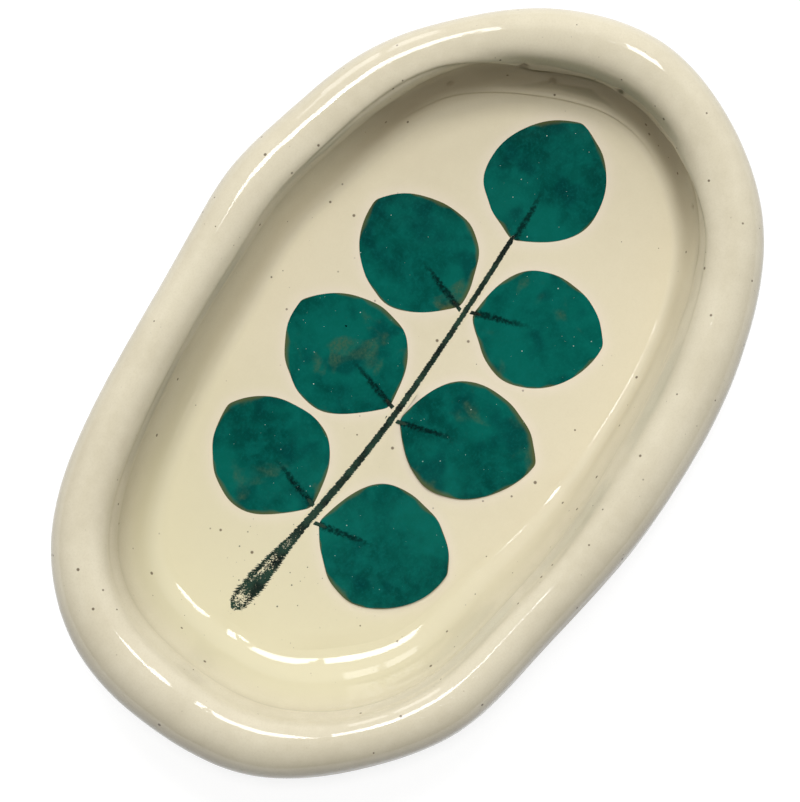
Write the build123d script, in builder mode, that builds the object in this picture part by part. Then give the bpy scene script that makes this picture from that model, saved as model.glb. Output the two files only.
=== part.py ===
"""A hand-built stoneware ring dish: a rolled slab with a turned-up edge, a thick coil luted on it as the rim,
and a sprig of round leaves laid flush into the floor in coloured slip.

Frame: X runs along the dish, Y across it and Z up. The origin is under the middle of the dish, on the table.
Lengths are in millimetres. Stations go round the dish anticlockwise from its far end, which is on +X.
"""

import os
from math import cos, pi, radians, sin

from build123d import *

# Driving sizes of the fired clay
length = 130.0
width = 84.0
height = 20.0
floor_thickness = 6.0
coil_diameter = 9.4
joint_height = 11.0
foot_inset = 5.2
floor_edge_inset = 15.0

# Driving sizes of the painted sprig
slip_depth = 0.25
paint_margin = 1.5
bare_stem_length = 12.0
stem_root_width = 2.6
stem_tip_width = 0.9
stem_bow = 1.8
stalk_length = 2.0
stalk_width = 0.8
leaf_length = 22.0
leaf_gap = 1.2

# The dish was shaped by hand. These shares, one for each station, say how far it leaves a plain oblong.
oblong_power = 2.3
outline_shares = (
    1.00, 0.98, 0.97, 1.00, 1.00, 1.01, 0.98, 0.95, 0.945, 0.97, 1.01, 1.01,
    1.00, 1.00, 1.00, 1.02, 0.99, 0.99, 1.00, 1.00, 1.00, 1.00, 1.00, 0.99,
)
coil_shares = (
    0.94, 0.94, 0.80, 0.94, 0.96, 0.98, 0.94, 0.89, 0.89, 0.96, 1.06, 1.15,
    1.17, 1.13, 1.00, 1.02, 1.00, 1.02, 1.06, 1.11, 1.11, 1.09, 1.04, 0.98,
)
crest_shares = (
    0.970, 0.970, 0.970, 0.970, 0.975, 0.980, 0.985, 0.990, 0.990, 0.995, 1.000, 1.000,
    1.000, 0.980, 0.955, 0.935, 0.930, 0.930, 0.935, 0.940, 0.950, 0.960, 0.965, 0.970,
)
floor_edge_shares = (
    0.83, 0.86, 0.78, 0.87, 0.90, 0.90, 0.90, 0.90, 0.92, 1.00, 1.13, 1.27,
    1.33, 1.33, 1.27, 1.20, 1.13, 1.07, 1.03, 1.00, 0.97, 0.93, 0.90, 0.84,
)
stations = len(outline_shares)

# The outer wall from the foot up to the coil's widest line: (height, inset) as shares. It stands nearly
# upright where the coil was luted on, and the coil swells out above.
outer_wall_shares = (
    (0.0, 1.0), (0.03, 0.80), (0.11, 0.64), (0.34, 0.42), (0.58, 0.26), (0.71, 0.18), (0.85, 0.04),
)

# The coil's top half and the inner wall's quarter round are drawn in short steps of equal angle
coil_steps = 12
inner_wall_steps = 6
coil_angles = [pi * step / coil_steps for step in range(coil_steps + 1)]
inner_wall_angles = [pi / 2 * step / inner_wall_steps for step in range(1, inner_wall_steps + 1)]

# A leaf's outline: how far along it is widest, and the two points that bend its edge from the base up to
# there, as (along, out) shares of the widest place. Its base is a rounded wedge, so it clears the stem.
leaf_widest_share = 0.44
leaf_base_shares = ((0.26, 0.62), (0.56, 1.0))

# The leaf pairs from the stem's root upwards, left leaf then right leaf: (turn from the stem in degrees,
# length share, width share)
leaf_pair_shares = (
    ((78, 0.94, 0.96), (73, 0.97, 1.00)),
    ((75, 1.00, 1.00), (72, 1.00, 0.97)),
    ((71, 0.98, 0.97), (70, 0.95, 0.99)),
)
leaf_pairs = len(leaf_pair_shares)
sides = {"left": 1, "right": -1}
stem_place_shares = (0.0, 0.5, 1.0)


def oblong_radius(angle):
    """Distance from the middle to a plain oblong of the dish's length and width."""
    along = abs(cos(angle)) / (length / 2)
    across = abs(sin(angle)) / (width / 2)
    return (along**oblong_power + across**oblong_power) ** (-1 / oblong_power)


def raw_outline_point(station):
    angle = 2 * pi * station / stations
    radius = oblong_radius(angle) * outline_shares[station % stations]
    return Vector(radius * cos(angle), radius * sin(angle))


# The shaped outline, measured so that it can be centred and brought to the exact length and width
with BuildLine() as raw_outline:
    raw_points = [raw_outline_point(station) for station in range(stations)]
    add(Edge.make_spline(raw_points, periodic=True, parameters=range(stations + 1)))
raw_box = raw_outline.line.bounding_box()


def outline_point(station):
    """The dish's widest line, seen from above, at one station."""
    raw = raw_outline_point(station) - raw_box.center()
    return Vector(raw.X * length / raw_box.size.X, raw.Y * width / raw_box.size.Y)


def inward(station):
    """The level direction that points from the outline into the dish."""
    run = outline_point(station + 1) - outline_point(station - 1)
    return Vector(-run.Y, run.X).normalized()


def profile(station):
    """The dish's section at one station, from the foot up the outside, over the rim and down to the floor,
    as (inset from the outline, height)."""
    coil_radius = coil_diameter / 2 * coil_shares[station]
    coil_height = height * crest_shares[station] - coil_radius
    floor_inset = floor_edge_inset * floor_edge_shares[station]
    wall_top = 2 * coil_radius
    wall_run = floor_inset - wall_top
    wall_drop = coil_height - floor_thickness
    outer = [(foot_inset * inset, coil_height * up) for up, inset in outer_wall_shares]
    coil = [(coil_radius * (1 - cos(a)), coil_height + coil_radius * sin(a)) for a in coil_angles]
    wall = [(wall_top + wall_run * (1 - cos(a)), coil_height - wall_drop * sin(a)) for a in inner_wall_angles]
    return outer + coil + wall


def level_line(level):
    """The closed line that joins one point of every station's profile. Its parameter is the station, so that
    all the lines match."""
    points = []
    for station in range(stations):
        inset, up = profile(station)[level]
        place = outline_point(station) + inward(station) * inset
        points.append(Vector(place.X, place.Y, up))
    with BuildLine() as line:
        add(Edge.make_spline(points, periodic=True, parameters=range(stations + 1)))
    return line.wire()


# The whole clay form, lofted from the foot over the rim and down to the floor
with BuildPart() as clay_form:
    level_lines = [level_line(level) for level in range(len(profile(0)))]
    add(Solid.make_loft(level_lines, ruled=True))


# The two clay pieces: the slab with its turned-up edge, and the coil luted on top of it
joint_plane = Plane.XY.offset(joint_height)

with BuildPart() as slab_blank:
    add(clay_form.part)
    split(bisect_by=joint_plane, keep=Keep.BOTTOM)

with BuildPart() as rim_coil:
    add(clay_form.part)
    split(bisect_by=joint_plane, keep=Keep.TOP)


# The sprig fills the flat of the floor from end to end, and its leaves share what the bare stem leaves over
floor_far_end = outline_point(0).X - floor_edge_inset * floor_edge_shares[0]
floor_near_end = outline_point(stations // 2).X + floor_edge_inset * floor_edge_shares[stations // 2]
sprig_length = floor_far_end - floor_near_end - 2 * paint_margin
leaf_pitch = (sprig_length - bare_stem_length - leaf_length) / leaf_pairs
leaf_width = leaf_pitch - leaf_gap
stem_start = Vector(floor_near_end + paint_margin, stem_bow)
stem_end = Vector(floor_far_end - paint_margin - leaf_length, stem_bow)
floor_plane = Plane.XY.offset(floor_thickness)

with BuildLine() as stem_line:
    ThreePointArc(stem_start, ((stem_start.X + stem_end.X) / 2, 0), stem_end)


def stem_edge(side):
    """One edge of the tapering stem, half its width to one side of its line."""
    points = []
    for share in stem_place_shares:
        run = stem_line.line % share
        half_width = (stem_root_width + (stem_tip_width - stem_root_width) * share) / 2
        points.append(stem_line.line @ share + Vector(-run.Y, run.X) * side * half_width)
    return points


def leaf_place(pair, turn):
    """Where a leaf leaves the stem's line, and the direction it takes. A left leaf's turn is positive."""
    lean = (leaf_length / 2 + stalk_length) * cos(radians(turn))
    share = (bare_stem_length + (pair + 0.5) * leaf_pitch - lean) / (sprig_length - leaf_length)
    direction = (stem_line.line % share).rotate(Axis.Z, turn)
    return stem_line.line @ share, direction


# The stem with its short leaf stalks, one flat stroke of slip
with BuildPart() as stem:
    with BuildSketch(floor_plane):
        with BuildLine():
            left_edge = ThreePointArc(*stem_edge(1))
            right_edge = ThreePointArc(*stem_edge(-1))
            Line(left_edge @ 0, right_edge @ 0)
            Line(left_edge @ 1, right_edge @ 1)
        make_face()
        for pair, both in enumerate(leaf_pair_shares):
            for side, (turn, _, _) in zip(sides.values(), both):
                base, direction = leaf_place(pair, side * turn)
                with BuildLine():
                    Line(base, base + direction * stalk_length)
                trace(line_width=stalk_width)
    extrude(amount=-slip_depth)


def leaf(base, direction, length_share, width_share):
    """One round leaf. The stalk's end runs into it, and is left out of it."""
    base -= direction * stalk_width
    tip_place = leaf_length * length_share
    widest_place = tip_place * leaf_widest_share
    half_width = leaf_width * width_share / 2
    base_bends = [(widest_place * along, half_width * out) for along, out in leaf_base_shares]
    with BuildPart() as blade:
        with BuildSketch(Plane(origin=(base.X, base.Y, floor_thickness), x_dir=direction)):
            with BuildLine():
                Bezier((0, 0), *base_bends, (widest_place, half_width))
                TangentArc((widest_place, half_width), (tip_place, 0), tangent=(1, 0))
                mirror(about=Plane.XZ)
            make_face()
        extrude(amount=-slip_depth)
        add(stem.part, mode=Mode.SUBTRACT)
    return blade.part


leaves = {"leaf_tip": leaf(stem_end, stem_line.line % 1, 1, 1)}
for pair, both in enumerate(leaf_pair_shares):
    for name, (turn, length_share, width_share) in zip(sides, both):
        base, direction = leaf_place(pair, sides[name] * turn)
        foot = base + direction * stalk_length
        leaves[f"leaf_{name}_{pair + 1}"] = leaf(foot, direction, length_share, width_share)


# The slab with the sprig's shallow recesses
with BuildPart() as base_slab:
    add(slab_blank.part)
    add([stem.part, *leaves.values()], mode=Mode.SUBTRACT)


pieces = {"base_slab": base_slab.part, "rim_coil": rim_coil.part, "stem": stem.part, **leaves}
os.makedirs("parts", exist_ok=True)
for name, piece in pieces.items():
    piece.label = name
    export_step(piece, f"parts/{name}.step")
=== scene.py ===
"""The look of a hand-built, glazed ring dish: cream stoneware with a sprig painted on its floor.

Lengths are in millimetres until a mesh, a lamp or the camera is made. X runs along the dish from its near end
to its far end, Y across it and Z up. Stations go round it anticlockwise from the far end.
"""

from math import cos, pi, radians, sin, tan

import bpy
import numpy as np
from mathutils import Matrix, Vector


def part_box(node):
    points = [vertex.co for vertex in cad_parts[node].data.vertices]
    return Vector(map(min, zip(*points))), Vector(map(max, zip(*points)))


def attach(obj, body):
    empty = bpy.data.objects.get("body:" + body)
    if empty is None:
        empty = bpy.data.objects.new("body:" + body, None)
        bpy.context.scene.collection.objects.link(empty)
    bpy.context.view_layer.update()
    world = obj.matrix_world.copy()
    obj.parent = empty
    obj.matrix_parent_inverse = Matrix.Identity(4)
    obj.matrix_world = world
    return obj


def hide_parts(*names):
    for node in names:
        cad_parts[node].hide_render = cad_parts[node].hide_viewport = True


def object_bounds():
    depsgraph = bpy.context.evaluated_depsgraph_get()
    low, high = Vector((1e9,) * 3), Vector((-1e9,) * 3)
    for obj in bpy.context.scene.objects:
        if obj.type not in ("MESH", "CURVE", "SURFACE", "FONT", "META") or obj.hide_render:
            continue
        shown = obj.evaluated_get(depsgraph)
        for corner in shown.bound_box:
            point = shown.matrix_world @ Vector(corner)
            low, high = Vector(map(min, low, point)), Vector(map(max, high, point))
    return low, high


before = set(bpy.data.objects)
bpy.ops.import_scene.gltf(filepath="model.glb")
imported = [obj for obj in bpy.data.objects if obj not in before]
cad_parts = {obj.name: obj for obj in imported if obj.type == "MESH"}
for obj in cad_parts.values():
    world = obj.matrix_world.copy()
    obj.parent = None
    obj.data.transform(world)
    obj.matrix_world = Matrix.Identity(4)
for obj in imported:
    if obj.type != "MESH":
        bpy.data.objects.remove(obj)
cad_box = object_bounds()

metre = 1000.0

# Sizes of the clay form
length, width, height = [float(side) * metre for side in np.subtract(cad_box[1], cad_box[0])]
floor_thickness = 6.0
coil_diameter = 9.4
foot_inset = 5.2
floor_edge_inset = 15.0

# How far the hand-shaped form leaves a plain oblong, one share for each station
oblong_power = 2.3
outline_shares = (
    1.00, 0.98, 0.97, 1.00, 1.00, 1.01, 0.98, 0.95, 0.945, 0.97, 1.01, 1.01,
    1.00, 1.00, 1.00, 1.02, 0.99, 0.99, 1.00, 1.00, 1.00, 1.00, 1.00, 0.99,
)
coil_shares = (
    0.94, 0.94, 0.80, 0.94, 0.96, 0.98, 0.94, 0.89, 0.89, 0.96, 1.06, 1.15,
    1.17, 1.13, 1.00, 1.02, 1.00, 1.02, 1.06, 1.11, 1.11, 1.09, 1.04, 0.98,
)
crest_shares = (
    0.970, 0.970, 0.970, 0.970, 0.975, 0.980, 0.985, 0.990, 0.990, 0.995, 1.000, 1.000,
    1.000, 0.980, 0.955, 0.935, 0.930, 0.930, 0.935, 0.940, 0.950, 0.960, 0.965, 0.970,
)
floor_edge_shares = (
    0.83, 0.86, 0.78, 0.87, 0.90, 0.90, 0.90, 0.90, 0.92, 1.00, 1.13, 1.27,
    1.33, 1.33, 1.27, 1.20, 1.13, 1.07, 1.03, 1.00, 0.97, 0.93, 0.90, 0.84,
)
outer_wall_shares = (
    (0.0, 1.0), (0.03, 0.80), (0.11, 0.64), (0.34, 0.42), (0.58, 0.26), (0.71, 0.18), (0.85, 0.04),
    (1.0, 0.0),
)

# Mesh steps: round the dish, and along each stretch of its section. The powers crowd the steps of a stretch.
columns = 800
underside_steps = 8
outer_wall_steps = 42
coil_steps = 64
inner_wall_steps = 80
floor_steps = 44
underside_power = 0.6
outer_wall_power = 1.3
floor_power = 0.85

# A place on the section is told by its way down it: from -2 on the coil's outer side over -1 on its crest to
# 0 on its inner side, and 1 at the edge of the floor. Whole stretches outside that have one way each.
underside_way = -4.0
outer_wall_way = -3.0
floor_way = 2.0

# The luting line under the coil, as (degrees round the dish, way, lip height), how far its lip spreads above
# and below it, how deep its groove is, and how dark the painted shade in the groove is, as shares of the
# lip's height
luting_line = (
    (-66, -0.40, 0.00), (-45, -0.42, 0.10), (-30, -0.40, 0.22), (-20, -0.22, 0.36), (-10, 0.10, 0.50),
    (-2, 0.14, 0.52), (5, 0.08, 0.50), (11, 0.10, 0.50), (18, 0.18, 0.48), (23, 0.02, 0.42),
    (28, -0.26, 0.34), (34, -0.46, 0.30), (42, -0.52, 0.26), (52, -0.50, 0.20), (62, -0.44, 0.14),
    (78, -0.38, 0.10), (100, -0.30, 0.10), (118, -0.28, 0.12), (135, -0.30, 0.12), (150, -0.36, 0.08),
    (168, -0.40, 0.00),
)
luting_spread = (0.22, 0.030)
luting_groove, luting_shade = 0.2, 0.4
# The crease where the far wall meets the floor, told the same way
floor_crease = (
    (-12, 0.76, 0.00), (-2, 0.77, 0.16), (8, 0.79, 0.22), (16, 0.77, 0.24), (25, 0.70, 0.22),
    (33, 0.60, 0.16), (46, 0.55, 0.00),
)
crease_spread = (0.060, 0.022)
# A line's groove lies this far below it and is this wide, both as shares of the lip's spread below the line
groove_offset, groove_width = 2.0, 1.4

# Pits in the far wall, how dark the painted shade in them is for their depth, and finger dents. Both are told
# as (degrees round the dish, way, radius, depth), and a negative depth stands for a hump.
pits = (
    (20.4, 0.06, 0.75, 0.34), (14.8, 0.44, 0.60, 0.22), (1.8, 0.02, 0.70, 0.32), (33.0, 0.36, 0.5, 0.15),
    (-24.0, 0.24, 0.45, 0.12),
)
pit_shade = 3.0
dents = (
    (-176.0, -1.0, 3.0, 0.24), (-153.0, -1.0, 8.0, 0.28), (-104.0, -1.0, 14.0, 0.38),
    (1.0, -1.0, 11.0, -0.42), (-179.0, 0.93, 6.0, 0.26), (-153.0, 0.93, 11.0, 0.46),
    (-128.0, 0.95, 22.0, 0.55), (-87.5, 0.93, 2.6, 0.22),
)

# Painted shade: brown darkening of the glaze that stands for shadow, as (degrees where it begins, is full,
# begins to fade and ends, middle way, spread, power, depth): on the wall under the coil at the far end, and
# along the coil on the left
painted_shades = (
    ((-38, -8, 40, 68), 0.33, 0.36, 4, 0.80),
    ((30, 60, 150, 172), -0.02, 0.30, 2, 0.26),
)

# The coil's inner shoulder is fuller at the far end, told like the painted shades. Round the rest of the dish
# the coil was smoothed down into the wall, as (degrees, share), which cuts the shoulder and fills the wall.
# The bands are (middle way, spread).
full_shoulder = (-50, -15, 65, 100)
shoulder_rise, shoulder_band = 0.50, (-0.45, 0.30)
wall_lean = (
    (-180, 1.0), (-60, 0.90), (-40, 0.45), (-18, 0.0), (35, 0.0), (60, 0.30), (115, 0.45), (150, 0.80),
    (180, 1.0),
)
wall_fill, fill_band = 0.95, (0.38, 0.30)
shoulder_cut, cut_band = 0.55, (-0.30, 0.26)

# Pinch marks of the fingers on the inner wall: two waves round the dish, bent down the wall, that grow
# stronger between two places along the dish
pinch_depth, pinch_band = 0.07, (0.35, 0.42)
pinch_start, pinch_full = 10.0, 45.0
pinch_pace, slow_pinch_pace = 0.62, 0.31
slow_pinch_share, slow_pinch_turn = 0.6, 1.0
pinch_bend, pinch_bend_pace = 2.2, 2.4

# Soft waves all over the clay, as (seed, count, shortest and longest wavelength). They and the other marks
# fade out towards the foot between two heights.
slow_waves, slow_height = (7, 14, 16.0, 46.0), 0.06
quick_waves, quick_height = (8, 16, 3.0, 9.0), 0.010
foot_fade = (0.4, 3.0)

# Lengths along the section of the coil's quarter turn and of the inner wall, passes that even out a line,
# and the step over which the floor's slope is measured
coil_quarter = pi / 4 * coil_diameter
wall_length = 11.0
evening_passes = 40
slope_step = 0.05


def around(values, places):
    """Values between the stations, on a smooth closed curve through the stations' own values."""
    values = np.asarray(values, float)
    count = len(values)
    one = np.eye(count)
    system = 4 * one + np.roll(one, 1, 0) + np.roll(one, -1, 0)
    bend = np.linalg.solve(system, 6 * (np.roll(values, -1, 0) - 2 * values + np.roll(values, 1, 0)))
    first = np.floor(places).astype(int)
    after = (places - first).reshape((-1,) + (1,) * (values.ndim - 1))
    before = 1 - after
    a, b = first % count, (first + 1) % count
    return (before * values[a] + after * values[b]
            + ((before**3 - before) * bend[a] + (after**3 - after) * bend[b]) / 6)


def rising_curve(points, at):
    """Values on a smooth curve through (place, value) points that never swings past them."""
    x, y = np.array(points, float).T
    run = np.diff(x)
    slope = np.diff(y) / run
    tilt = np.zeros(len(x))
    tilt[0] = slope[0]
    tilt[1:-1] = 2 * slope[:-1] * slope[1:] / (slope[:-1] + slope[1:])
    k = np.clip(np.searchsorted(x, at, side="right") - 1, 0, len(run) - 1)
    t = (at - x[k]) / run[k]
    return (y[k] * (1 + 2 * t) * (1 - t)**2 + y[k + 1] * t**2 * (3 - 2 * t)
            + run[k] * (tilt[k] * t * (1 - t)**2 + tilt[k + 1] * t**2 * (t - 1)))


def waves(points, seed, count, shortest, longest):
    """Soft random waves in space, mostly between -1 and 1."""
    rng = np.random.default_rng(seed)
    total = np.zeros(points.shape[:-1])
    for _ in range(count):
        direction = rng.normal(size=3)
        direction /= np.linalg.norm(direction)
        wavelength = longest * (shortest / longest) ** rng.random()
        total += np.sin(points @ direction * 2 * pi / wavelength + 2 * pi * rng.random())
    return total / np.sqrt(count)


def smooth_step(value, low, high):
    """A smooth change from 0 to 1 while the value goes from low to high."""
    t = np.clip((value - low) / (high - low), 0, 1)
    return t * t * (3 - 2 * t)


# The plan of the form: its widest line, and the way into the dish, for every column of the mesh
stations = len(outline_shares)
places = np.arange(columns) * stations / columns
station_angles = 2 * pi * np.arange(stations) / stations
station_radii = (np.abs(np.cos(station_angles) * 2 / length) ** oblong_power
                 + np.abs(np.sin(station_angles) * 2 / width) ** oblong_power) ** (-1 / oblong_power)
raw_outline = (np.stack([np.cos(station_angles), np.sin(station_angles)], 1)
               * (station_radii * outline_shares)[:, None])
raw_line = around(raw_outline, places)
raw_low, raw_high = raw_line.min(0), raw_line.max(0)
outline = (raw_outline - (raw_low + raw_high) / 2) * (length, width) / (raw_high - raw_low)
station_run = np.roll(outline, -1, 0) - np.roll(outline, 1, 0)
station_inward = np.stack([-station_run[:, 1], station_run[:, 0]], 1)
station_inward /= np.linalg.norm(station_run, axis=1)[:, None]
widest_line = around(outline, places)
inward = around(station_inward, places)
coil_radius = around(np.array(coil_shares) * coil_diameter / 2, places)
coil_height = around(height * np.array(crest_shares) - np.array(coil_shares) * coil_diameter / 2, places)
floor_inset = around(np.array(floor_edge_shares) * floor_edge_inset, places)
column_degrees = (places * 360 / stations + 180) % 360 - 180


def clay_lift(points):
    """How far the hand-worked surface stands off the plain form: slow wobble, and finer finger ripple."""
    slow = waves(points, *slow_waves) * slow_height
    quick = waves(points, *quick_waves) * quick_height
    return smooth_step(points[..., 2], *foot_fade) * (slow + quick)


def floor_height(x, y):
    """Height of the glazed floor at a place on its flat part."""
    flat = np.stack([x, y, np.full_like(x, floor_thickness)], -1)
    return floor_thickness + clay_lift(flat)


def floor_normals(points):
    """Directions straight out of the floor at points on it."""
    x, y = points[:, 0], points[:, 1]
    slope_x = (floor_height(x + slope_step, y) - floor_height(x - slope_step, y)) / (2 * slope_step)
    slope_y = (floor_height(x, y + slope_step) - floor_height(x, y - slope_step)) / (2 * slope_step)
    ways = np.stack([-slope_x, -slope_y, np.ones_like(x)], 1)
    return ways / np.linalg.norm(ways, axis=1)[:, None]


def evened(values):
    """Values round the dish without sharp turns."""
    for _ in range(evening_passes):
        values = (np.roll(values, 1) + 2 * values + np.roll(values, -1)) / 4
    return values


def stretch(begin, full, fading, end):
    """1 on one stretch round the dish, given in degrees, and 0 beyond its soft ends."""
    return smooth_step(column_degrees, begin, full) * smooth_step(column_degrees, end, fading)


def band(way, middle, spread, power=2):
    """1 along one line of the section, falling off on both sides of it."""
    return np.exp(-((way - middle) / spread) ** power)


def marked_line(line, way, spread):
    """(lip, groove) along one line of the inner wall. The lip falls off slowly above and sharply below."""
    above, below = spread
    degrees_at, way_at, lip_at = np.array(line, float).T
    middle = evened(np.interp(column_degrees, degrees_at, way_at))
    lip = evened(np.interp(column_degrees, degrees_at, lip_at, left=0, right=0))
    off = way - middle
    ridge = band(off, 0, np.where(off < 0, above, below))
    groove = band(off, groove_offset * below, groove_width * below)
    return lip * ridge, lip * groove


def hollows(table, way):
    """How deep the round hollows of one table are, everywhere on the form."""
    total = np.zeros_like(way)
    for at_degrees, at_way, radius, depth in table:
        column = int(round((at_degrees % 360) / 360 * columns)) % columns
        reach = np.linalg.norm(widest_line - widest_line[column], axis=1)
        down = (way - at_way) * np.where(way < 0, coil_quarter, wall_length)
        total += depth * np.exp(-(reach**2 + down**2) / radius**2)
    return total


def section_rows():
    """The form's section as rows from the underside over the rim to the floor, and each row's way."""
    rows, ways = [], []

    def add_row(places, z, way):
        rows.append(np.column_stack([places, np.broadcast_to(z, columns)]))
        ways.append(np.broadcast_to(way, columns))

    def ring(inset, z, way):
        add_row(widest_line + inward * np.broadcast_to(inset, columns)[:, None], z, way)

    foot_line = widest_line + inward * foot_inset
    for step in range(1, underside_steps):
        add_row(foot_line * (step / underside_steps) ** underside_power, 0.0, underside_way)
    for step in range(outer_wall_steps):
        share = (step / outer_wall_steps) ** outer_wall_power
        ring(foot_inset * rising_curve(outer_wall_shares, share), coil_height * share, outer_wall_way)
    for step in range(coil_steps):
        angle = pi * step / coil_steps
        ring(coil_radius * (1 - cos(angle)), coil_height + coil_radius * sin(angle), (angle - pi) * 2 / pi)
    wall_top = 2 * coil_radius
    wall_run = floor_inset - wall_top
    wall_drop = coil_height - floor_thickness
    for step in range(inner_wall_steps + 1):
        angle = pi / 2 * step / inner_wall_steps
        ring(wall_top + wall_run * (1 - cos(angle)), coil_height - wall_drop * sin(angle), angle * 2 / pi)
    floor_line = rows[-1][:, :2]
    for step in range(1, floor_steps):
        add_row(floor_line * (1 - (step / floor_steps) ** floor_power), floor_thickness, floor_way)
    return np.array(rows), np.array(ways)


def grid_normals(grid):
    """Outward directions of a grid that is closed round its columns."""
    round_it = np.roll(grid, -1, 1) - np.roll(grid, 1, 1)
    along = np.empty_like(grid)
    along[1:-1] = grid[2:] - grid[:-2]
    along[0] = grid[1] - grid[0]
    along[-1] = grid[-1] - grid[-2]
    normals = np.cross(round_it, along)
    return normals / np.linalg.norm(normals, axis=2)[..., None]


def pinches(grid, way):
    """The fingers' pinch marks on the inner wall, strongest at the far end."""
    marks = np.sin(column_degrees * pinch_pace + pinch_bend * np.sin(way * pinch_bend_pace))
    marks += slow_pinch_share * np.sin(column_degrees * slow_pinch_pace + slow_pinch_turn)
    return pinch_depth * smooth_step(grid[..., 0], pinch_start, pinch_full) * band(way, *pinch_band) * marks


def shaped_form():
    """The grid with its hand-made surface, its normals and its painted shade."""
    grid, way = section_rows()
    lip, groove = marked_line(luting_line, way, luting_spread)
    crease_lip, _ = marked_line(floor_crease, way, crease_spread)
    holes = hollows(pits, way)
    # Painted shade: the glaze is darkened in the luting groove, in the pits and on the stretches in shadow
    crevice = groove * luting_shade + holes * pit_shade
    for shaded, middle, spread, power, depth in painted_shades:
        crevice += depth * stretch(*shaded) * band(way, middle, spread, power)
    lift = lip - luting_groove * groove + crease_lip - (holes + hollows(dents, way))
    lift += shoulder_rise * stretch(*full_shoulder) * band(way, *shoulder_band)
    lean = evened(np.interp(column_degrees, *np.array(wall_lean).T))
    lift += lean * wall_fill * band(way, *fill_band)
    lift -= lean * shoulder_cut * band(way, *cut_band)
    lift += pinches(grid, way)
    lift *= smooth_step(grid[..., 2], *foot_fade)
    grid = grid + grid_normals(grid) * (lift + clay_lift(grid))[..., None]
    return grid, grid_normals(grid), np.clip(crevice, 0, 1)


def new_piece(name, points, faces, nodes, slot, surface, normals, **values):
    """One smooth closed mesh from points in millimetres, riding on the dish in place of its CAD nodes."""
    mesh = bpy.data.meshes.new(name)
    mesh.from_pydata((np.asarray(points) / metre).tolist(), [], faces)
    mesh.polygons.foreach_set("use_smooth", [True] * len(mesh.polygons))
    for key, numbers in values.items():
        layer = mesh.attributes.new(key, "FLOAT", "POINT")
        layer.data.foreach_set("value", np.asarray(numbers, np.float32))
    mesh.update()
    mesh.normals_split_custom_set_from_vertices(np.asarray(normals).tolist())
    mesh.materials.append(surface)
    piece = bpy.data.objects.new(name, mesh)
    bpy.context.scene.collection.objects.link(piece)
    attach(piece, "root")
    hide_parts(*nodes)


def ring_faces(first, rings, count, flipped=False):
    """Faces between closed rings of points, count points in each, from the number of the first point."""
    faces = []
    for low in range(first, first + (rings - 1) * count, count):
        for a in range(count):
            b = (a + 1) % count
            corners = (low + a, low + b, low + count + b, low + count + a)
            faces.append(corners[:1] + corners[:0:-1] if flipped else corners)
    return faces


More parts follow.
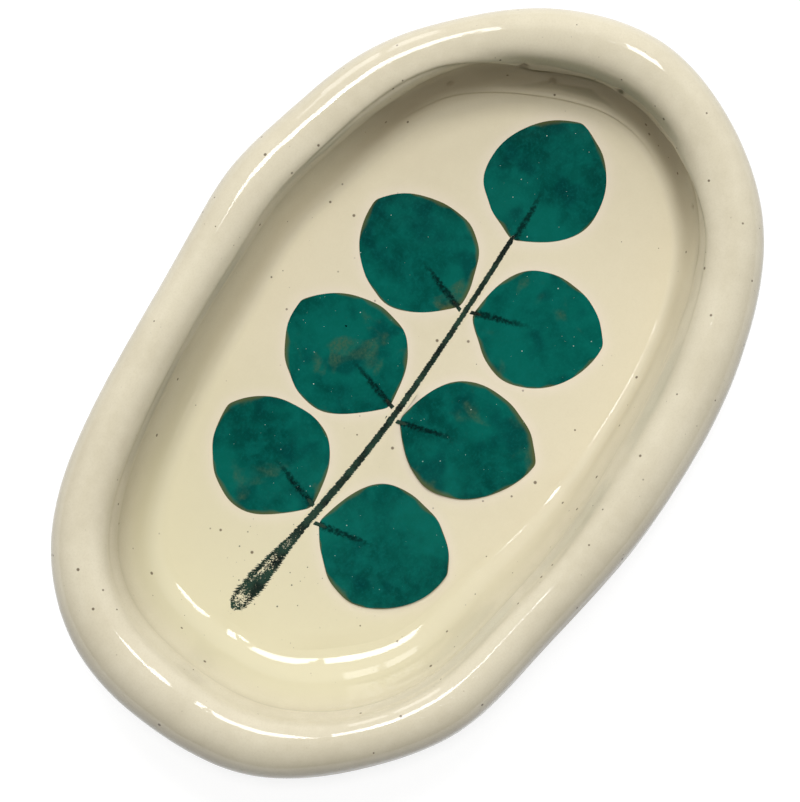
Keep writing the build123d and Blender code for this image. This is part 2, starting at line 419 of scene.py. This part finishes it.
class Graph:
    """Short ways to put nodes into one tree."""

    def __init__(self, tree):
        self.tree = tree
        tree.nodes.clear()

    def add(self, kind, values=None, **settings):
        """A new node. Its inputs are linked where a value is a socket, and else set."""
        node = self.tree.nodes.new(kind)
        for name, value in settings.items():
            setattr(node, name, value)
        for name, value in (values or {}).items():
            if isinstance(value, bpy.types.NodeSocket):
                self.tree.links.new(value, node.inputs[name])
            elif isinstance(value, tuple) and len(value) == 3 and node.inputs[name].type == "RGBA":
                node.inputs[name].default_value = (*value, 1)
            else:
                node.inputs[name].default_value = value
        return node

    def math(self, operation, first, second=0.0):
        return self.add("ShaderNodeMath", {0: first, 1: second}, operation=operation).outputs[0]

    def times(self, first, second):
        return self.math("MULTIPLY", first, second)

    def plus(self, first, second):
        return self.math("ADD", first, second)

    def minus(self, first, second):
        return self.math("SUBTRACT", first, second)

    def noise(self, place, scale, detail=2.0, roughness=0.5, distortion=0.0):
        values = {"Vector": place, "Scale": scale, "Detail": detail, "Roughness": roughness,
                  "Distortion": distortion}
        return self.add("ShaderNodeTexNoise", values).outputs[0]

    def ramp(self, value, low, high, start=0.0, end=1.0):
        """A smooth change from start to end while the value goes from low to high."""
        values = {"Value": value, "From Min": low, "From Max": high, "To Min": start, "To Max": end}
        return self.add("ShaderNodeMapRange", values, interpolation_type="SMOOTHSTEP").outputs[0]

    def mix(self, factor, first, second):
        return self.add("ShaderNodeMix", {0: factor, 6: first, 7: second}, data_type="RGBA").outputs[2]

    def wash(self, colour, where, strength, tone):
        """The colour with another tone over it, as strong as given where the mask is 1."""
        return self.mix(self.times(where, strength), colour, tone)

    def clouded(self, colour, place, clouds):
        """The colour with soft clouds of other tones over it."""
        for noise, levels, strength, tone in clouds:
            colour = self.mix(self.ramp(self.noise(place, *noise), *levels, 0.0, strength), colour, tone)
        return colour

    def value(self, name):
        return self.add("ShaderNodeAttribute", attribute_name=name).outputs["Fac"]

    def vector(self, x, y):
        return self.add("ShaderNodeCombineXYZ", {0: x, 1: y}).outputs[0]

    def dots(self, place, spacing, radius, size_change):
        """Small round dots strewn through the clay, 1 inside a dot. Some are smaller by up to the change."""
        cell = self.add("ShaderNodeTexVoronoi", {"Vector": place, "Scale": 1 / spacing})
        tone = self.add("ShaderNodeSeparateColor", {0: cell.outputs["Color"]}).outputs[0]
        edge = radius / spacing
        edge = self.ramp(tone, 0.0, 1.0, edge * (1 - size_change), edge)
        near = self.math("DIVIDE", cell.outputs["Distance"], edge)
        return self.ramp(near, dot_core, 1.0, 1.0, 0.0)

    def millimetres(self):
        """The place on the object, in millimetres."""
        place = self.add("ShaderNodeTexCoord").outputs["Object"]
        return self.add("ShaderNodeVectorMath", {0: place, "Scale": metre}, operation="SCALE").outputs[0]

    def finish(self, colour, roughness, height, depth):
        """A glossy fired surface with that colour, and bumps as deep as depth, in millimetres."""
        bump = self.add("ShaderNodeBump", {"Height": height, "Distance": depth / metre, "Strength": 1.0})
        values = {"Base Color": colour, "Roughness": roughness, "IOR": glaze_ior, "Normal": bump.outputs[0]}
        shader = self.add("ShaderNodeBsdfPrincipled", values)
        self.add("ShaderNodeOutputMaterial", {"Surface": shader.outputs[0]})


def new_graph(name):
    """A new material and the graph of its nodes."""
    made = bpy.data.materials.new(name)
    made.use_nodes = True
    return made, Graph(made.node_tree)


# Gloss and relief of the glaze, the bare clay and the paint
glaze_ior = 1.5
glaze_roughness, clay_roughness, leaf_roughness, stem_roughness = 0.055, 0.85, 0.07, 0.06
glaze_relief, leaf_relief = 0.007, 0.005
grit_height = 8.0

# Dots in the glaze and the paint, as (spacing, radius, size change), and the share of a dot that is solid
iron_specks = (2.9, 0.33, 0.65)
iron_dust = (2.2, 0.13, 0.6)
stray_grains = (1.35, 0.17, 0.6)
large_sparkles = (1.9, 0.11, 0.5)
small_sparkles = (1.05, 0.055, 0.6)
dot_core = 0.55

# Noises through the clay and the paint, as (scale, detail, roughness, distortion), the last two where needed
gloss_noise = (0.75, 2)
clay_noise = (1.6, 5, 0.7)
glaze_line_noise = (0.22, 3)
brush_noise = (0.45, 4, 0.60, 0.3)
leaf_grain_noise = (2.2, 3, 0.65)
smudge_noise = (0.13, 3, 0.55, 0.4)
thin_edge_noise = (0.13, 2)
leaf_gloss_noise = (1.3, 2)
streak_noise = (3.0, 3, 0.7, 0.3)
hatch_noise = (0.9, 3, 0.65)
stem_grain_noise = (5.5, 3, 0.7)
patch_noise = (0.55, 2)

# The cream glaze: its plain colour, then clouds over it, as (noise, its low and high level, strength, tone)
cream = (0.685, 0.620, 0.462)
cream_clouds = (
    ((0.05, 3, 0.55), (0.36, 0.64), 1.0, (0.745, 0.680, 0.515)),
    ((0.55, 3, 0.60), (0.35, 0.75), 0.30, (0.80, 0.735, 0.575)),
    ((3.4, 3, 0.65), (0.40, 0.75), 0.22, (0.56, 0.49, 0.34)),
)

# Other tones in the cream glaze, as (strength, tone), and the heights and the places along the dish between
# which it turns warmer inside and pools at the near end
inside_tone = (0.60, (0.735, 0.657, 0.467))
pool_tone = (0.70, (0.705, 0.655, 0.440))
speck_tone = (0.85, (0.12, 0.085, 0.05))
dust_tone = (0.45, (0.30, 0.23, 0.15))
# The dark brown of the painted shade
crevice_tone = (0.80, (0.16, 0.115, 0.06))
halo_tone = (0.40, (0.82, 0.72, 0.62))
inside_top, inside_bottom = 15.0, 7.0
pool_start, pool_full = 5.0, -48.0

# Grains of pigment that fell beside the bare stem, thick within the lesser reach of their centre
stray_tone = (0.85, (0.045, 0.055, 0.04))
stray_centre = (-35.0, 0.0, 6.0)
stray_reach, stray_thick = 13.0, 5.0

# The bare clay of the foot, and the heights between which the glaze ends on its wandering line
clay_dark, clay_light = (0.42, 0.30, 0.19), (0.60, 0.47, 0.33)
glaze_ends, clay_begins = 0.45, 0.25
glaze_line_wander = -1.6

# The leaves' paint, told like the cream glaze, and its smudges, thin ochre edge and sparkles
leaf_shade = (0.0008, 0.054, 0.043)
leaf_clouds = (
    ((0.10, 3, 0.55, 0.2), (0.34, 0.66), 1.0, (0.0022, 0.112, 0.086)),
    (brush_noise, (0.38, 0.72), 0.55, (0.0032, 0.130, 0.104)),
    ((0.16, 2), (0.52, 0.68), 0.60, (0.0010, 0.038, 0.037)),
    (leaf_grain_noise, (0.45, 0.75), 0.28, (0.005, 0.150, 0.125)),
)
leaf_smudge, leaf_ochre, leaf_sparkle = (0.062, 0.105, 0.050), (0.110, 0.105, 0.030), (0.50, 0.68, 0.58)
brush_wander = 0.7

# The dark vein from the leaf's base
vein_colour = (0.0015, 0.012, 0.011)
vein_length = 10.5
vein_root_reach, vein_tip_reach = 0.42, 0.16
vein_wander, vein_ragged = 0.9, 0.9

# The stem's dry pigment, told like the cream glaze, and how its strokes run: stretched along the stem, or
# slanted across it
stem_black = (0.009, 0.016, 0.014)
stem_clouds = (
    ((0.35, 2), (0.35, 0.65), 1.0, (0.020, 0.048, 0.034)),
    (stem_grain_noise, (0.50, 0.75), 0.40, (0.12, 0.12, 0.06)),
)
streak_stretch, hatch_slant, hatch_stretch, hatch_ragged = 0.55, 0.60, 5.5, 1.3

# How thick the pigment lies: between two levels in patches, and more or less of it in some places
patch_cover = (0.50, 0.62)
solid_cover, border_cover, root_cover = 0.16, 0.07, 0.07
root_length = 5.0
# Shares of the streaks, the hatching and the grain in the strokes' depth
streak_share, hatch_share, grain_share = 0.30, 0.30, 0.40


def cream_colour(g, place):
    """The cream glaze: cloudy, yellower where it pools at the near end, with iron specks from the clay."""
    along, _, up = g.add("ShaderNodeSeparateXYZ", {0: place}).outputs
    colour = g.clouded(cream, place, cream_clouds)
    inside = g.ramp(up, inside_top, inside_bottom)
    colour = g.wash(colour, inside, *inside_tone)
    colour = g.wash(colour, g.times(g.ramp(along, pool_start, pool_full), inside), *pool_tone)
    colour = g.wash(colour, g.dots(place, *iron_specks), *speck_tone)
    return g.wash(colour, g.dots(place, *iron_dust), *dust_tone), up


def cream_glaze():
    """Glaze over the whole clay, with painted shade in its grooves, pits and shaded stretches, pinkish beside
    the paint, and bare clay at the foot.
    """
    made, g = new_graph("cream_glaze")
    place = g.millimetres()
    colour, up = cream_colour(g, place)
    # Painted shade, darker brown where shadow falls in grooves, pits and under the coil
    colour = g.wash(colour, g.value("crevice"), *crevice_tone)
    colour = g.wash(colour, g.value("halo"), *halo_tone)
    away = g.add("ShaderNodeVectorMath", {0: place, 1: stray_centre}, operation="DISTANCE").outputs["Value"]
    strays = g.times(g.dots(place, *stray_grains), g.ramp(away, stray_reach, stray_thick))
    colour = g.wash(colour, strays, *stray_tone)
    grain = g.noise(place, *clay_noise)
    line = g.plus(up, g.times(g.noise(place, *glaze_line_noise), glaze_line_wander))
    bare = g.ramp(line, glaze_ends, clay_begins)
    colour = g.mix(bare, colour, g.mix(grain, clay_dark, clay_light))
    roughness = g.ramp(bare, 0.0, 1.0, glaze_roughness, clay_roughness)
    grit = g.times(g.times(bare, grain), grit_height)
    g.finish(colour, roughness, g.plus(g.noise(place, *gloss_noise), grit), glaze_relief)
    return made


def leaf_paint():
    """Deep green underglaze colour, softly clouded by the brush, under the same clear gloss."""
    made, g = new_graph("leaf_slip")
    place = g.millimetres()
    edge, across, along = [g.value(name) for name in ("edge_mm", "across_mm", "along_mm")]
    brush = g.noise(place, *brush_noise)
    grain = g.noise(place, *leaf_grain_noise)
    colour = g.clouded(leaf_shade, place, leaf_clouds)
    smudge = g.ramp(g.noise(place, *smudge_noise), 0.60, 0.72)
    colour = g.wash(colour, smudge, g.ramp(grain, 0.30, 0.65, 0.15, 0.60), leaf_smudge)
    # The pigment thins out to ochre along parts of the edge
    wander = g.times(g.minus(brush, 0.5), brush_wander)
    thin = g.ramp(g.noise(place, *thin_edge_noise), 0.42, 0.66, 0.05, 0.80)
    line = g.math("DIVIDE", g.plus(edge, g.times(wander, 0.45)), thin)
    colour = g.mix(g.ramp(line, 1.20, 0.0, 0.0, 0.75), colour, leaf_ochre)
    # The vein wanders with the brush, narrows towards its tip and is ragged with grain
    reach = g.math("ABSOLUTE", g.plus(across, g.times(wander, vein_wander)))
    reach = g.minus(reach, g.ramp(along, 0.0, vein_length, vein_root_reach, vein_tip_reach))
    reach = g.plus(reach, g.times(g.minus(grain, 0.5), vein_ragged))
    vein = g.times(g.ramp(reach, 0.34, -0.16), g.ramp(along, vein_length, vein_length / 2))
    colour = g.wash(colour, vein, g.ramp(grain, 0.70, 0.45, 0.40, 0.88), vein_colour)
    sparkle = g.math("MAXIMUM", g.dots(place, *large_sparkles), g.dots(place, *small_sparkles))
    colour = g.mix(sparkle, colour, leaf_sparkle)
    g.finish(colour, leaf_roughness, g.plus(g.noise(place, *leaf_gloss_noise), sparkle), leaf_relief)
    return made


def stem_paint():
    """Charcoal-green pigment, scribbled on dry: two dark edges and a grainy middle, with glaze between."""
    made, g = new_graph("stem_slip")
    place = g.millimetres()
    ground, _ = cream_colour(g, place)
    share = g.math("ABSOLUTE", g.value("across_share"))
    across, along, solid = [g.value(name) for name in ("across_mm", "along_mm", "solid")]
    streaks = g.noise(g.vector(g.times(along, streak_stretch), across), *streak_noise)
    slant = g.plus(along, g.times(across, hatch_slant))
    hatch = g.noise(g.vector(g.times(slant, hatch_stretch), across), *hatch_noise)
    grain = g.noise(place, *stem_grain_noise)
    # The pigment is thicker in the solid stem and on the stroke's borders, thin at its root, and ragged
    cover = g.ramp(g.noise(place, *patch_noise), 0.34, 0.66, *patch_cover)
    cover = g.plus(cover, g.times(solid, solid_cover))
    border = g.times(g.ramp(share, 0.35, 0.62), g.ramp(share, 1.00, 0.80))
    cover = g.plus(cover, g.times(border, border_cover))
    cover = g.minus(cover, g.ramp(along, root_length, 0.0, 0.0, root_cover))
    ragged = g.plus(share, g.times(g.minus(hatch, 0.5), hatch_ragged))
    cover = g.times(cover, g.ramp(ragged, 1.02, 0.80))
    # It shows wherever its cover is more than the depth of the strokes
    depth = g.plus(g.times(streaks, streak_share), g.times(hatch, hatch_share))
    depth = g.plus(depth, g.times(grain, grain_share))
    ink = g.ramp(g.minus(cover, depth), -0.040, 0.030)
    colour = g.mix(ink, ground, g.clouded(stem_black, place, stem_clouds))
    g.finish(colour, stem_roughness, g.noise(place, *gloss_noise), glaze_relief)
    return made


# Mesh steps of a leaf, passes that round its outline, and the waver of the brush
leaf_columns, leaf_rings, leaf_smoothing = 220, 26, 3
brush_waves, brush_waver = (21, 8, 4.0, 12.0), 0.10

# How far the paint stands out of the glaze, and how deep its edge goes in
leaf_lift, stalk_lift, stem_lift = 0.020, 0.030, 0.040
paint_root = 0.06

# The stem's stroke: a bowed line with a slow waver, that widens and narrows from root to tip as (share of the
# way, share from root width to tip width), with a flare near the root
ribbon_columns, ribbon_shoulder = 25, 0.75
stem_steps = 200
stem_bow, stem_start_gap = 1.8, 0.1
stem_waver, stem_waver_pace = 0.35, 9
stem_root_width, stem_tip_width = 2.6, 0.9
stem_narrowing = ((0.0, 0.0), (0.12, 0.12), (0.24, 0.72), (1.0, 1.0))
stem_flare, stem_flare_band = 0.45, (0.07, 0.075)
stem_end_share = 0.15
bare_stem_share, solid_stem_share = 0.17, 0.29
stem_margin, tip_margin_share = 0.45, 0.05

# The stalks' short strokes, from the stem a little way into each leaf
stalk_steps = 24
stalk_width = 0.70
stalk_longest, stalk_overlap, stalk_stem_gap = 3.2, 1.3, 0.7
stalk_solid, stalk_spread = 2.5, 0.55


def convex_loop(points):
    """The corners of the points' convex hull, anticlockwise."""
    ordered = points[np.lexsort((points[:, 1], points[:, 0]))]

    def chain(run):
        kept = []
        for p in run:
            while len(kept) > 1 and np.cross(kept[-1] - kept[-2], p - kept[-1]) <= 0:
                kept.pop()
            kept.append(p)
        return kept[:-1]

    return np.array(chain(ordered) + chain(ordered[::-1]))


def flat_corners(node):
    """The places of a frame node's corners on the floor, in millimetres."""
    return np.array([v.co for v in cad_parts[node].data.vertices])[:, :2] * metre


def leaf_outline(node):
    """The leaf's edge on the floor, from the frame's node, resampled evenly and wavered by the brush. Also
    its base, and the direction from the base to the tip."""
    corners = np.unique(flat_corners(node).round(4), axis=0)
    middle = corners.mean(0)
    hull = convex_loop(corners)
    apart = np.linalg.norm(hull[:, None] - hull[None], axis=2)
    ends = hull[list(np.unravel_index(apart.argmax(), apart.shape))]
    stem = flat_corners("stem")
    reach = [np.linalg.norm(stem - end, axis=1).min() for end in ends]
    base, tip = ends if reach[0] < reach[1] else ends[::-1]
    steps = np.linalg.norm(np.roll(hull, -1, 0) - hull, axis=1)
    run = np.concatenate([[0], np.cumsum(steps)])
    at = np.linspace(0, run[-1], leaf_columns, endpoint=False)
    ring = np.stack([np.interp(at, run, np.append(hull[:, k], hull[0, k])) for k in (0, 1)], 1)
    for _ in range(leaf_smoothing):
        ring = (np.roll(ring, 1, 0) + 2 * ring + np.roll(ring, -1, 0)) / 4
    out = ring - middle
    out /= np.linalg.norm(out, axis=1)[:, None]
    flat = np.column_stack([ring, np.zeros(leaf_columns)])
    ring = ring + out * (waves(flat, *brush_waves) * brush_waver)[:, None]
    return ring, base, (tip - base) / np.linalg.norm(tip - base)


def on_floor(places, lift):
    """Points that stand so far above the glazed floor at the places."""
    return np.column_stack([places, floor_height(*places.T) + lift])


def leaf_piece(node, surface):
    """A thin closed patch of paint that follows the floor, with its round edge let into the glaze. Gives back
    the leaf's outline, its base and its direction."""
    ring, base, direction = leaf_outline(node)
    middle = ring.mean(0)
    rows = [on_floor(middle[None], leaf_lift)]
    for share in np.sin(np.linspace(0, pi / 2, leaf_rings + 1)[1:]):
        rows.append(on_floor(middle + (ring - middle) * share, leaf_lift if share < 1 else -leaf_lift))
    under = on_floor(ring, -paint_root)
    points = np.vstack(rows + [under, np.append(middle, under[:, 2].mean())])
    n = leaf_columns
    last = 1 + leaf_rings * n
    faces = [(0, 1 + c, 1 + (c + 1) % n) for c in range(n)]
    faces += ring_faces(1, leaf_rings + 1, n, flipped=True)
    faces += [(last + (c + 1) % n, last + c, len(points) - 1) for c in range(n)]
    off = points[:, :2] - base
    new_piece("painted_" + node, points, faces, [node], "leaf_slip", surface, floor_normals(points),
              edge_mm=np.linalg.norm(points[:, None, :2] - ring[None], axis=2).min(1),
              across_mm=off @ np.array([-direction[1], direction[0]]), along_mm=off @ direction)
    return ring, base, direction


def ribbon(path, reaches, margins, lift, solid, spread=1.0):
    """A thin closed strip of paint along a path, with the paint's values: how far across and along each point
    lies, and how solid the paint is. A spread under 1 keeps the strip's edges inside the stroke."""
    path = np.asarray(path, float)
    count = len(path)
    run = np.gradient(path, axis=0)
    side = np.stack([-run[:, 1], run[:, 0]], 1) / np.linalg.norm(run, axis=1)[:, None]
    along = np.concatenate([[0], np.cumsum(np.linalg.norm(np.diff(path, axis=0), axis=1))])
    q = np.linspace(-1, 1, ribbon_columns)
    rise = lift * (1 - 2 * smooth_step(np.abs(q), ribbon_shoulder, 1.0))
    rings, across, shares = [], [], []
    for centre, way, reach, margin in zip(path, side, reaches, np.broadcast_to(margins, count)):
        half = reach + margin
        place = centre + way * (q * half)[:, None]
        rings += [on_floor(place, rise), on_floor(place[[-1, 0]], -paint_root)]
        across.append(np.append(q * half, [half, -half]))
        shares.append(across[-1] / reach * spread)
    k = ribbon_columns + 2
    last = (count - 1) * k
    faces = ring_faces(0, count, k, flipped=True)
    faces += [tuple(range(k)), tuple(last + c for c in reversed(range(k)))]
    values = {"across_share": np.concatenate(shares), "across_mm": np.concatenate(across),
              "along_mm": np.repeat(along, k), "solid": np.repeat(np.broadcast_to(solid, count), k)}
    return np.concatenate(rings), faces, values


def stem_strip():
    """The stem's bowed stroke, from its bare root to its tip."""
    low, high = [np.array(corner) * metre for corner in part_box("stem")]
    share = np.linspace(0, 1, stem_steps)
    start, end = low[0] + stem_start_gap, high[0]
    x = start + (end - start) * share
    y = stem_bow * (2 * share - 1) ** 2 + stem_waver * np.sin(share * stem_waver_pace) * (1 - share)
    narrowing = rising_curve(stem_narrowing, share)
    reach = (stem_root_width + (stem_tip_width - stem_root_width) * narrowing) / 2
    reach = reach * (1 + stem_flare * band(share, *stem_flare_band))
    ends = smooth_step(share, -0.004, 0.016) * smooth_step(share, 1.004, 0.985)
    reach = reach * (stem_end_share + (1 - stem_end_share) * ends)
    margins = stem_margin * (tip_margin_share + (1 - tip_margin_share) * smooth_step(share, 1.0, 0.94))
    solid = smooth_step(share, bare_stem_share, solid_stem_share)
    return ribbon(np.column_stack([x, y]), reach, margins, stem_lift, solid)


def stalk_strip(base, direction):
    """One leaf's stalk, a short stroke that tapers into the leaf."""
    back = min(abs((base[1] - stalk_stem_gap) / direction[1]), stalk_longest)
    path = [base + direction * step for step in np.linspace(-back, stalk_overlap, stalk_steps)]
    taper = smooth_step(np.linspace(1, 0, stalk_steps), -0.05, 0.2)
    reach = stalk_width / 2 * np.linspace(1.15, 0.80, stalk_steps) * taper
    return ribbon(path, reach, 0.0, stalk_lift, stalk_solid, stalk_spread)


def stem_piece(bases, surface):
    """The stem and the short stalks to the leaves, as one painted piece."""
    points, faces, values = [], [], {}
    strips = [stem_strip()] + [stalk_strip(base, direction) for base, direction in bases]
    for strip_points, strip_faces, strip_values in strips:
        start = len(points)
        points += strip_points.tolist()
        faces += [tuple(start + corner for corner in face) for face in strip_faces]
        for name, numbers in strip_values.items():
            values.setdefault(name, []).extend(numbers.tolist())
    normals = floor_normals(np.array(points))
    new_piece("painted_stem", points, faces, ["stem"], "stem_slip", surface, normals, **values)


# How far the glaze is tinged beside the paint, and the parts in which the floor's points are measured
halo_reach = 1.1
halo_parts = 40


def glaze_piece(outlines, surface):
    """The glaze, fired as one skin over the slab and the coil."""
    grid, normals, crevice = shaped_form()
    rows = len(grid)
    points = grid.reshape(-1, 3)
    inside = np.arange(len(points)) >= rows * columns // 2
    floor = np.nonzero(inside & (points[:, 2] < floor_thickness + 1))[0]
    edges = np.concatenate([ring[::2] for ring in outlines])
    halo = np.zeros(len(points))
    for some in np.array_split(floor, halo_parts):
        gap = np.linalg.norm(points[some, None, :2] - edges[None], axis=2).min(1)
        halo[some] = np.exp(-(gap / halo_reach) ** 2)
    under, over = len(points), len(points) + 1
    last = (rows - 1) * columns
    faces = ring_faces(0, rows, columns)
    faces += [(under, (c + 1) % columns, c) for c in range(columns)]
    faces += [(last + c, last + (c + 1) % columns, over) for c in range(columns)]
    points = np.vstack([points, np.zeros(3), on_floor(np.zeros((1, 2)), 0.0)])
    ways = np.vstack([normals.reshape(-1, 3), (0, 0, -1), (0, 0, 1)])
    new_piece("glazed_clay", points, faces, ["base_slab", "rim_coil"], "cream_glaze", surface, ways,
              crevice=np.append(crevice, [0, 0]), halo=np.append(halo, [0, 0]))


# Directions of the photograph in the dish's frame, and the camera
image_up = Vector((0.7939, 0.6080, 0))
image_right = Vector((0.6080, -0.7939, 0))
camera_target = (-2.99, 0.09, 10.0)
camera_distance = 400.0
camera_tilt = radians(9.0)
camera_roll = radians(-0.81)
camera_lens = 117.6
camera_sensor = 36.0


def photo_camera():
    """The camera of the photograph, nearly straight above the dish."""
    data = bpy.data.cameras.new("photo_camera")
    data.sensor_fit = "HORIZONTAL"
    data.sensor_width = camera_sensor
    data.lens = camera_lens
    back = Vector((0, 0, cos(camera_tilt))) - image_up * sin(camera_tilt)
    across = image_up.cross(back).normalized()
    up = back.cross(across)
    turned_across = across * cos(camera_roll) + up * sin(camera_roll)
    turned_up = up * cos(camera_roll) - across * sin(camera_roll)
    place = (Vector(camera_target) + back * camera_distance) / metre
    made = bpy.data.objects.new("photo_camera", data)
    turn = Matrix((turned_across, turned_up, back)).transposed().to_4x4()
    made.matrix_world = Matrix.Translation(place) @ turn
    bpy.context.scene.collection.objects.link(made)
    bpy.context.scene.camera = made


# The panes of two soft windows, and a faint low one: (image azimuth from, to, elevation from, to, radiance),
# angles in degrees
panels = (
    (58, 77, 57, 69, 12.0), (87, 107, 57, 69, 12.0), (103, 121, 57, 69, 12.0),
    (99, 108, 10, 30, 3.2), (110, 121, 10, 30, 3.2),
)
panel_distance = 1400.0

# A broad soft lamp straight overhead, which the glaze doesn't mirror
overhead_strength = 1.45
overhead_spread = radians(16.0)

# The white table and the room's own light, which comes from one side and leaves out the room overhead
table_half_side, table_sink = 3.0, 0.00002
table_grey, table_grey_seen = (0.34, 0.34, 0.34), (0.30, 0.30, 0.30)
table_glow = 0.80
white = (1.0, 1.0, 1.0)
room_azimuth, room_elevation = 74, 20
room_turned_away, room_turned_to = -0.30, 0.95
room_dim, room_bright = 0.02, 0.62
overhead_begins, overhead_full = 0.86, 0.95


def sky_direction(azimuth, elevation):
    """A direction from its azimuth, anticlockwise from the picture's right, and its elevation."""
    flat = image_right * cos(radians(azimuth)) + image_up * sin(radians(azimuth))
    return flat * cos(radians(elevation)) + Vector((0, 0, sin(radians(elevation))))


def window_panels():
    """The windows' panes, as lamps that face the dish."""
    for number, (first, last, low, high, radiance) in enumerate(panels, 1):
        middle = (low + high) / 2
        data = bpy.data.lights.new(f"window_{number}", "AREA")
        data.shape = "RECTANGLE"
        data.size = 2 * panel_distance * cos(radians(middle)) * tan(radians(last - first) / 2) / metre
        data.size_y = 2 * panel_distance * tan(radians(high - low) / 2) / metre
        data.energy = radiance * pi * data.size * data.size_y
        lamp = bpy.data.objects.new(f"window_{number}", data)
        way = sky_direction((first + last) / 2, middle)
        lamp.location = way * panel_distance / metre
        lamp.rotation_euler = way.to_track_quat("Z", "Y").to_euler()
        bpy.context.scene.collection.objects.link(lamp)


def overhead_lamp():
    """The soft lamp overhead."""
    data = bpy.data.lights.new("overhead", "SUN")
    data.energy = overhead_strength
    data.angle = overhead_spread
    lamp = bpy.data.objects.new("overhead", data)
    lamp.visible_glossy = False
    bpy.context.scene.collection.objects.link(lamp)


def white_table():
    """The white floor that keeps the dish's shadow."""
    mesh = bpy.data.meshes.new("floor")
    side = table_half_side
    corners = [(-side, -side), (side, -side), (side, side), (-side, side)]
    mesh.from_pydata([(x, y, -table_sink) for x, y in corners], [], [(0, 1, 2, 3)])
    floor = bpy.data.objects.new("floor", mesh)
    bpy.context.scene.collection.objects.link(floor)
    made, g = new_graph("floor")
    path = g.add("ShaderNodeLightPath")
    shown = g.math("MAXIMUM", path.outputs["Is Camera Ray"], path.outputs["Is Glossy Ray"])
    shown = g.math("MAXIMUM", shown, path.outputs["Is Transmission Ray"])
    paint = g.add("ShaderNodeBsdfDiffuse", {"Color": g.mix(shown, table_grey, table_grey_seen)})
    glow = g.add("ShaderNodeEmission", {"Color": white, "Strength": g.times(shown, table_glow)})
    both = g.add("ShaderNodeAddShader", {0: paint.outputs[0], 1: glow.outputs[0]})
    g.add("ShaderNodeOutputMaterial", {"Surface": both.outputs[0]})
    mesh.materials.append(made)


def room():
    """A white background, and a soft room that is darker overhead and on the near side."""
    world = bpy.data.worlds.new("studio")
    bpy.context.scene.world = world
    world.use_nodes = True
    g = Graph(world.node_tree)
    way = g.add("ShaderNodeTexCoord").outputs["Generated"]
    bright_side = tuple(sky_direction(room_azimuth, room_elevation))
    toward = g.add("ShaderNodeVectorMath", {0: way, 1: bright_side}, operation="DOT_PRODUCT")
    light = g.ramp(toward.outputs["Value"], room_turned_away, room_turned_to, room_dim, room_bright)
    up = g.add("ShaderNodeSeparateXYZ", {0: way}).outputs[2]
    light = g.times(light, g.ramp(up, overhead_begins, overhead_full, 1.0, 0.0))
    seen = g.add("ShaderNodeLightPath").outputs["Is Camera Ray"]
    strength = g.math("MAXIMUM", seen, light)
    back = g.add("ShaderNodeBackground", {"Color": white, "Strength": strength})
    g.add("ShaderNodeOutputWorld", {"Surface": back.outputs[0]})


leaf_surface = leaf_paint()
outlines, bases = [], []
for leaf_node in sorted(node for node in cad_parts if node.startswith("leaf_")):
    ring, base, direction = leaf_piece(leaf_node, leaf_surface)
    outlines.append(ring)
    if leaf_node != "leaf_tip":
        bases.append((base, direction))
stem_piece(bases, stem_paint())
glaze_piece(outlines, cream_glaze())
photo_camera()
window_panels()
overhead_lamp()
white_table()
room()

scene = bpy.context.scene
scene.view_settings.view_transform = "Standard"
